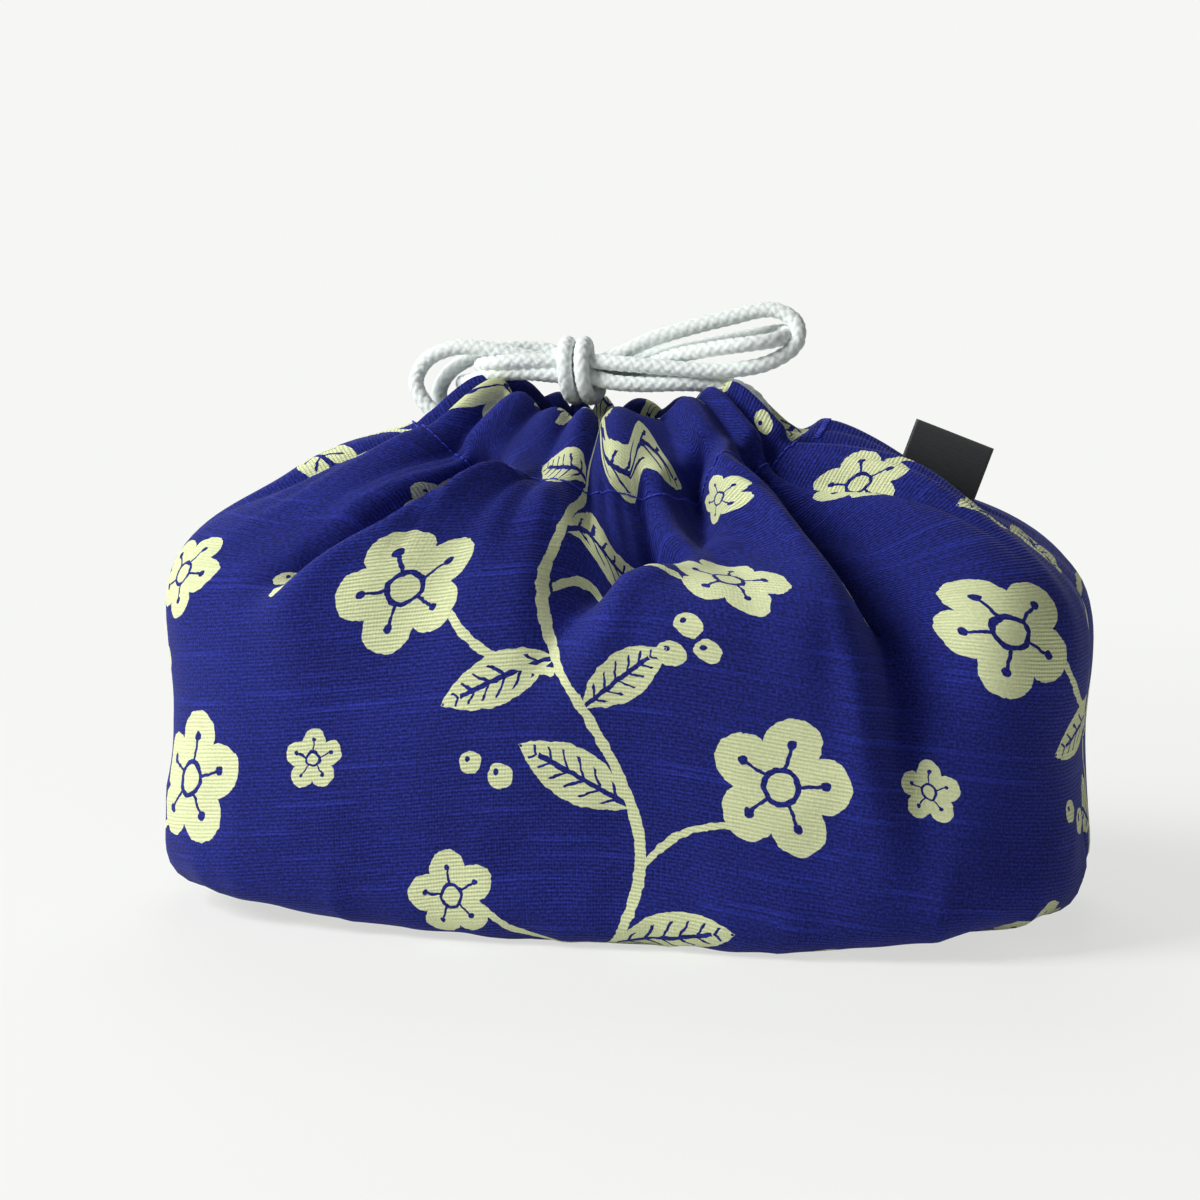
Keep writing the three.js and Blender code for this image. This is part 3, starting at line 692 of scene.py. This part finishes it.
# Routes of the free cords above the mouth, across, back and up in mm.
LEFT_OUT = [  # out of the slit to the outer loop, back to a fold on the left, and to the inner loop
    (-43, -5.4, 126), (-49, -3.8, 127.6), (-54.6, -2.4, 131.2), (-57.6, -1.2, 136.8), (-55, -0.6, 142.4),
    (-48, -0.5, 145.8), (-39, -1, 146), (-30, -1, 144.4), (-20, -0.2, 142.6), (-12, 0, 142), (-4, 0.5, 144.6),
    (5.3, 1.5, 149), (25, 3, 154.7), (37, 3.5, 157), (43, 2, 154), (43.6, -1, 148.8), (37, -4, 144), (25, -5, 141.8),
    (12, -5.4, 142.2), (3, -5, 142.8), (-5, -4, 143.2), (-12, -3, 143.4), (-20, -4.2, 143.2), (-28, -4.8, 143.2),
    (-34.5, -4.2, 142.6), (-39.4, -1, 141.8), (-40.8, 4.4, 141.4), (-37.2, 9.4, 141.2), (-30, 10, 141.4),
    (-22, 6.6, 141.9), (-12, 3.2, 141.6), (-5, 2.4, 141.4), (3, 0.4, 141.8), (12, -1.6, 145), (23, -4.4, 147.4),
    (31.4, -6.2, 148.8), (38.2, -4, 149.8), (41, 1.8, 150.8), (38.4, 7.4, 151), (32, 9.8, 150), (24, 9.4, 148.3),
    (12, 7.8, 145.6), (3, 8, 144), (-3.4, 8.6, 143.4)]
LEFT_BACK = [  # from the waist along the back to the slit
    (-20.4, 9.6, 144), (-27, 10.8, 145), (-36, 8.4, 145), (-44, 6.4, 143), (-50.5, 5.6, 138.6), (-53, 5.4, 133),
    (-50, 5.2, 128.4), (-44, 6, 126.2)]
RIGHT_OUT = [  # out of the slit, along the bottom to a fold behind the left ear, and back
    (32.1, -5.6, 122.8), (34.7, -3.8, 126), (34.5, -3, 130.5), (31.4, -3, 134.6), (26.5, -3.2, 137), (20, -3.5, 138),
    (14, -4.4, 138.2), (4, -5, 137.8), (-4, -5, 138.2), (-12, -4, 139.8), (-20, -4.4, 140), (-28, -3.8, 140.2),
    (-36, -3, 139.4), (-42, -0.4, 137.4), (-46.5, 5.5, 136.2), (-45, 11.5, 136.4), (-39, 15, 137.4), (-31, 13, 138.4),
    (-22, 6.6, 138.6), (-12, 3.8, 138.2), (0, 4.6, 138), (12, 4.2, 138), (20, 3.4, 138.4), (26.5, 3.2, 137),
    (31.4, 3, 134.6), (34.5, 3, 130.5), (34.7, 3.8, 126), (32.1, 5.6, 122.8)]
CORD_PITCH = 5.6  # between the two cords in the casing
CORD_DROP = 3  # how far both lie below the casing's middle
CORD_STEP = 0.0004  # m between the rings of a cord
CORD_SIDES = 30
STRANDS = 4  # strands that wind each way round a cord
GAP_RADIUS, CROWN_RISE = 0.82, 0.23  # of the cord's radius


def casing_run(form, side, level):
    """Part of a drawcord that lies in the casing, from the back of its own slit round to the front of it."""
    turn = (0 if side > 0 else np.pi) + side * np.linspace(2, 14, 25) / 16 * 2 * np.pi
    x = MOUTH_SHIFT + form.ring[0] * np.cos(turn)
    z = form.top - CASING_HEIGHT / 2 + EAR_RISE * smooth(np.abs(np.cos(turn)), 0.3, 0.95) + level
    return np.stack([x, form.ring[1] * np.sin(turn), z], 1)


def waist_turns():
    """Two turns of cord round the hank."""
    turn = np.linspace(1.05 * np.pi, 4.75 * np.pi, 50)
    x = np.linspace(WRAP_FROM, WRAP_TO, 50)
    return np.stack([x, -WRAP_HALF[0] * np.cos(turn), WRAP_HEIGHT + WRAP_HALF[1] * np.sin(turn)], 1)


def braid(across, along):
    """0 in the gaps between the strands to 1 on their crowns; both places are counted in strands."""
    a, b = across + along, across - along
    crown_a, crown_b = (np.cos(np.pi * (v - np.floor(v) - 0.5)) ** 0.7 for v in (a, b))
    over = 0.5 + 0.5 * np.cos(np.pi * (np.floor(a) + np.floor(b)))
    return np.maximum(crown_a * (0.45 + 0.55 * over), crown_b * (1 - 0.55 * over))


class LUNCHBAG_OT_drawcords(bpy.types.Operator):
    """Lay the two braided drawcords through the casing and tie their loops in a hank"""

    bl_idname = "lunchbag.drawcords"
    bl_label = "Drawcords"

    def execute(self, context):
        form = BagForm(context.scene.bag_cloth)
        settings = context.scene.drawcords
        material = braided_cotton(settings)
        round_it = STRANDS * np.linspace(0, 2 * np.pi, CORD_SIDES + 1) / (2 * np.pi)
        left = [LEFT_OUT, waist_turns(), LEFT_BACK, casing_run(form, -1, CORD_PITCH / 2 - CORD_DROP)]
        right = [RIGHT_OUT, casing_run(form, 1, -CORD_PITCH / 2 - CORD_DROP)]
        for runs, nodes in ((left, ["drawcord_left", "drawcord_hank", "drawcord_wrap"]), (right, ["drawcord_right"])):
            line = spline(form.placed(np.concatenate(runs)), CORD_STEP)
            run = run_of(line)
            # strand runs from 0 in the gaps to 1 on the crowns; it shapes the cord's relief and drives the painted
            # shade in the gaps.
            strand = np.array([braid(round_it, s / settings.braid) for s in run])
            radius = settings.diameter / 2 * (GAP_RADIUS + CROWN_RISE * strand)
            bm = tube(line, radius, CORD_SIDES,
                      lambda row, column, low: (column / CORD_SIDES, row / (len(run) - 1)), strand)
            piece = finished(bm, "braided_" + nodes[0], material)
            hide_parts(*nodes)
        return {"FINISHED"}


class LUNCHBAG_OT_cloth(bpy.types.Operator):
    """Gather the printed cloth into the drawn bag"""

    bl_idname = "lunchbag.cloth"
    bl_label = "Bag cloth"

    def execute(self, context):
        settings = context.scene.bag_cloth
        form = BagForm(settings)
        around = 360
        t = np.arange(around + 1) / around
        u = t - 0.35 * np.sin(4 * np.pi * t) / (4 * np.pi)  # closer columns at the two seams
        stations = np.concatenate([
            np.linspace(0, 3, 40, endpoint=False), np.linspace(3, 5, 32, endpoint=False),
            np.linspace(5, 7.4, 28, endpoint=False), np.linspace(7.4, 9, 9)])
        walls = np.array([form.cloth(u % 1, s) for s in stations])
        walls[:, -1] = walls[:, 0]
        base = np.array([walls[0] * k for k in (0, 0.25, 0.5, 0.75)])
        floor_middle = np.array([MOUTH_SHIFT, 0, form.top - MOUTH_POCKET - 2])
        pocket = np.array([lerp(walls[-1], floor_middle, k) for k in (0.5, 1)])
        points = np.concatenate([base, walls, pocket])
        first = len(base)

        # Cloth coordinates: lengths up the smooth form's columns; round the rows, what the gathers swallow
        # lies in their valleys.
        form_rows = np.array([form.cloth(u % 1, s, False) for s in stations])
        rise = np.cumsum(norm(np.diff(form_rows, axis=0), axis=2), axis=0)
        rise = np.concatenate([rise, rise[-1:] + 5, rise[-1:] + 10])
        rise = np.concatenate([np.zeros((first + 1, around + 1)), rise])
        girth = np.zeros((len(points), around + 1))
        crests = np.concatenate([[0], np.flatnonzero(np.diff(np.floor(form.phase(u) + 0.5))) + 1, [around]])
        middle = (u[1:] + u[:-1]) / 2
        for row in range(first, len(points)):
            station = stations[min(row - first, len(stations) - 1)]
            step = norm(np.diff(points[row], axis=0), axis=1)
            valley = np.clip(-form.relief(middle, station) - 0.8, 0, None) ** 2 + 0.12
            for start, stop in zip(crests, crests[1:]):
                spare = GIRTH * (u[stop] - u[start]) - step[start:stop].sum()
                share = valley[start:stop] if spare > 0 else step[start:stop]
                step[start:stop] += spare * share / share.sum()
            girth[row, 1:] = np.cumsum(step)

        def uv(row, column, low):
            if low < first:
                x, y = points[row, column, :2]
                return ((x + 130) / GIRTH, (y + 300) / CLOTH_RISE)
            return (girth[row, column] / GIRTH, rise[row, column] / CLOTH_RISE)

        bm = moved_grid(form.placed(points), uv, ring=True)
        piece = finished(bm, "gathered_cloth", printed_cotton(settings))
        wall = piece.modifiers.new("cloth thickness", "SOLIDIFY")
        wall.thickness = settings.thickness
        wall.offset = -1
        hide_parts("bag_cloth")
        return {"FINISHED"}


RIBBON_THICKNESS = 0.00036


class LUNCHBAG_OT_ribbon_tab(bpy.types.Operator):
    """Fold the ribbon tab and stand it in the right-hand seam"""

    bl_idname = "lunchbag.ribbon_tab"
    bl_label = "Ribbon tab"

    def execute(self, context):
        settings = context.scene.ribbon_tab
        form = BagForm(context.scene.bag_cloth)
        seam = np.zeros(1)
        foot = form.cloth(seam, TAB_STATION, False)[0] * (1, 0, 1)
        slope = form.cloth(seam, TAB_STATION + 0.2, False)[0] - form.cloth(seam, TAB_STATION - 0.2, False)[0]
        lie = math.atan2(slope[2], -slope[0]) - TAB_LEAN
        slope = np.array([-math.cos(lie), 0, math.sin(lie)])
        out = np.array([slope[2], 0, -slope[0]])
        width, length = settings.width / MM, settings.length / MM
        gap, root = 0.45, -5.5  # half the fold's opening, and how deep the ends are sewn in
        bend = np.linspace(-np.pi / 2, np.pi / 2, 9)
        straight = np.linspace(root, length - gap - 0.18, 14)
        profile = [(b, -gap) for b in straight[:-1]]
        profile += [(straight[-1] + gap * math.cos(a), gap * math.sin(a)) for a in bend]
        profile += [(b, gap) for b in straight[-2::-1]]
        across = np.linspace(-width / 2 + 0.1, width / 2 - 0.1, 25)
        rows = []
        for b, c in profile:
            sway = 0.5 * np.sin(across / width * 2.4 + 0.4) * max(b, 0) / length
            rows.append(foot + np.outer(across, slope) + b * out + np.outer(c + sway, (0, 1, 0)))
        points = form.placed(np.array(rows))
        bm = moved_grid(points, lambda row, column, low: (column / 24, row / (len(profile) - 1)))
        piece = finished(bm, "folded_ribbon_tab", satin_ribbon(settings))
        wall = piece.modifiers.new("ribbon thickness", "SOLIDIFY")
        wall.thickness = RIBBON_THICKNESS
        wall.offset = 0
        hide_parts("label_tab")
        return {"FINISHED"}


class LUNCHBAG_OT_stitching(bpy.types.Operator):
    """Sew the casing: a running line of stitches, and a bar tack with its cut end at each slit"""

    bl_idname = "lunchbag.stitching"
    bl_label = "Stitching"

    def execute(self, context):
        settings = context.scene.bag_cloth
        form = BagForm(settings)
        material = sewing_thread(settings)
        station, pitch, thick = 5.25, 2.7, 0.24  # the casing's foot; a stitch's length and its thread's radius
        for name, low, high in (("casing_stitches_back", 0.02, 0.48), ("casing_stitches_front", 0.52, 0.98)):
            u = np.linspace(low, high, 2400)
            seat = form.cloth(u, station)
            up = form.cloth(u, station + 0.04) - form.cloth(u, station - 0.04)
            out = np.cross(np.gradient(seat, axis=0), up)
            out /= norm(out, axis=1)[:, None]
            run = run_of(seat)
            lift = 0.16 - 0.75 * np.clip(np.abs(run % pitch / pitch - 0.5) * 2 - 0.78, 0, 1) / 0.22
            line = evenly(form.placed(seat + out * lift[:, None]), 0.0004)
            finished(tube(line, thick * MM, 6), name, material)
        for name, seam in (("bar_tack_right", 0.0), ("bar_tack_left", 0.5)):
            steps = np.linspace(-1, 1, 27)
            places = [(seam + 0.011 * k, 5.12 + 0.05 * (-1) ** i) for i, k in enumerate(steps)]
            # The cut end lies on the cloth.
            places += [(seam + 0.011 + 0.004 * k, 5.17 + 0.05 * k) for k in (1, 2, 3, 4)]
            seat = np.array([form.cloth(np.array([u % 1]), s)[0] for u, s in places])
            out = np.array([form.outward(np.array([u % 1]), s)[0] for u, s in places])
            line = evenly(form.placed(seat + 0.3 * out), 0.0003)
            finished(tube(line, 0.2 * MM, 6), name, material)
        return {"FINISHED"}


VIEW_CENTRE = (-0.008, 0, 0.08)
LENS = 108
LAMPS = (  # name, place, size in m and power in W
    ("window", (-1.25, -0.75, 1.15), 0.8, 36.0), ("reflector", (1.3, -1.1, 0.6), 1.2, 0.3),
    ("rim", (-0.3, 1.3, 1.3), 1.0, 10.0))
LIT_PLACE = (0, 0, 0.06)
ROOM_LIGHT = 0.1


class LUNCHBAG_OT_stage(bpy.types.Operator):
    """Set the paper floor, the soft light and the camera"""

    bl_idname = "lunchbag.stage"
    bl_label = "Stage"

    def execute(self, context):
        scene = context.scene
        settings = scene.stage
        bm = bmesh.new()
        bmesh.ops.create_grid(bm, x_segments=40, y_segments=40, size=8)
        mesh = bpy.data.meshes.new("paper_floor")
        bm.to_mesh(mesh)
        bm.free()
        mesh.materials.append(studio_paper(settings))
        floor = bpy.data.objects.new("paper_floor", mesh)
        scene.collection.objects.link(floor)

        aim = Vector(VIEW_CENTRE)
        back = Vector((math.sin(settings.azimuth) * math.cos(settings.elevation),
                       -math.cos(settings.azimuth) * math.cos(settings.elevation), math.sin(settings.elevation)))
        camera = bpy.data.objects.new("camera", bpy.data.cameras.new("camera"))
        camera.data.lens = LENS
        camera.data.sensor_width = 36
        camera.location = aim + back * settings.distance
        camera.rotation_euler = (-back).to_track_quat("-Z", "Y").to_euler()
        scene.collection.objects.link(camera)
        scene.camera = camera

        for name, place, size, power in LAMPS:
            lamp = bpy.data.lights.new(name, "AREA")
            lamp.size = size
            lamp.energy = power
            lit = bpy.data.objects.new(name, lamp)
            lit.location = place
            lit.rotation_euler = (Vector(LIT_PLACE) - Vector(place)).to_track_quat("-Z", "Y").to_euler()
            scene.collection.objects.link(lit)

        world = bpy.data.worlds.new("studio air")
        world.use_nodes = True
        tree = world.node_tree
        tree.nodes.clear()
        paper = list(settings.paper) + [1]
        room = add(tree, "Background", {"Color": (1, 1, 1, 1), "Strength": ROOM_LIGHT})
        white = add(tree, "Background", {"Color": paper, "Strength": 1.0})
        add(tree, "OutputWorld", [add(tree, "MixShader", [seen_plainly(tree), room, white])])
        scene.world = world
        scene.view_settings.view_transform = "Standard"
        return {"FINISHED"}


class LUNCHBAG_PT_pieces(bpy.types.Panel):
    """Pieces of the lunch bag and their settings"""

    bl_idname = "LUNCHBAG_PT_pieces"
    bl_label = "Lunch bag"
    bl_space_type = "VIEW_3D"
    bl_region_type = "UI"
    bl_category = "Lunch bag"

    def draw(self, context):
        for operator, group in STEPS:
            box = self.layout.box()
            box.operator(operator)
            settings = getattr(context.scene, group)
            for name in settings.__annotations__:
                box.prop(settings, name)


STEPS = (("lunchbag.stage", "stage"), ("lunchbag.drawcords", "drawcords"), ("lunchbag.cloth", "bag_cloth"),
         ("lunchbag.ribbon_tab", "ribbon_tab"), ("lunchbag.stitching", "bag_cloth"))
GROUPS = {"bag_cloth": BagClothSettings, "drawcords": DrawcordSettings, "ribbon_tab": RibbonTabSettings,
          "stage": StageSettings}
CLASSES = (*GROUPS.values(), LUNCHBAG_OT_stage, LUNCHBAG_OT_drawcords, LUNCHBAG_OT_cloth, LUNCHBAG_OT_ribbon_tab,
           LUNCHBAG_OT_stitching, LUNCHBAG_PT_pieces)


def register():
    for made in CLASSES:
        bpy.utils.register_class(made)
    for name, group in GROUPS.items():
        setattr(bpy.types.Scene, name, bpy.props.PointerProperty(type=group))


def unregister():
    for name in GROUPS:
        delattr(bpy.types.Scene, name)
    for made in reversed(CLASSES):
        bpy.utils.unregister_class(made)


def main():
    register()
    bpy.ops.lunchbag.stage()
    bpy.ops.lunchbag.drawcords()
    bpy.ops.lunchbag.cloth()
    bpy.ops.lunchbag.ribbon_tab()
    bpy.ops.lunchbag.stitching()
    bpy.context.view_layer.update()


if __name__ == "__main__":
    main()
